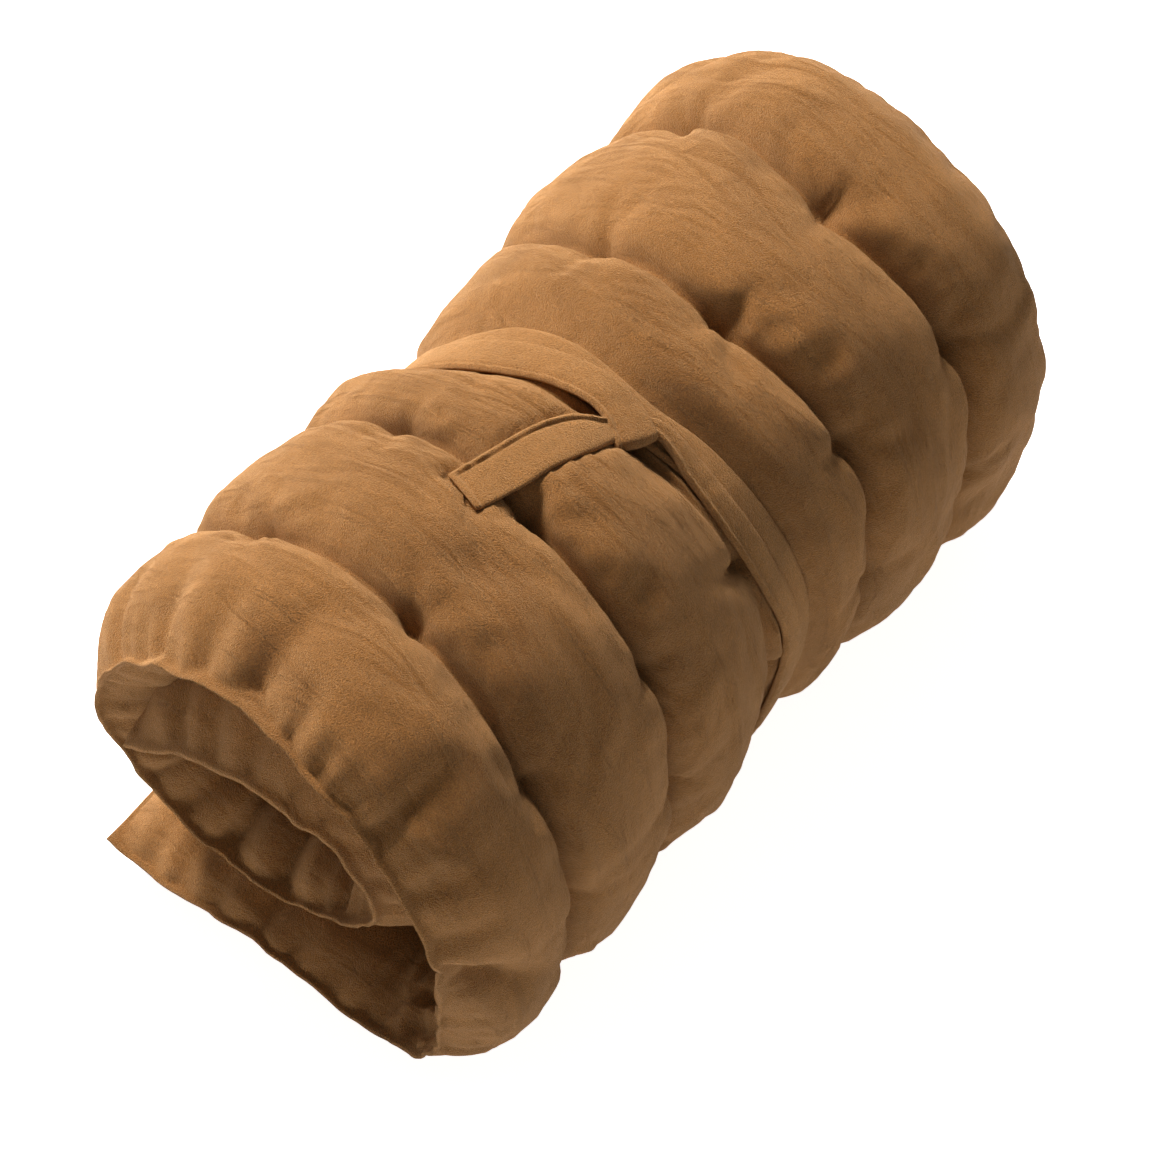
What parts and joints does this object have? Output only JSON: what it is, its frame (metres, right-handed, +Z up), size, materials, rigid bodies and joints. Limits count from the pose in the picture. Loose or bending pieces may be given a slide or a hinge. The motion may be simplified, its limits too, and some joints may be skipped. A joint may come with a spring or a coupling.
{
  "type": "rolled floor mattress",
  "caption": "Quilted, tufted velvet floor mattress rolled up with its loose end flat on the floor, tied round the middle with a half-knotted velvet band.",
  "frame": {"origin": "the middle of the bounding box's underside, on the floor the roll lies on", "axes": "+Z up, +Y along the roll away from the end that shows its spiral, +X across the roll towards the side where the loose end runs under it"},
  "size_m": [0.3356, 0.6426, 0.3425],
  "materials": {
    "velvet": "short velvet pile, golden brown, with a soft sheen at grazing angles",
    "velvet_band": "the same velvet, doubled flat and stitched along one edge"
  },
  "bodies": {
    "root": {"mattress": "velvet", "tie_band": "velvet_band"}
  },
  "joints": []
}
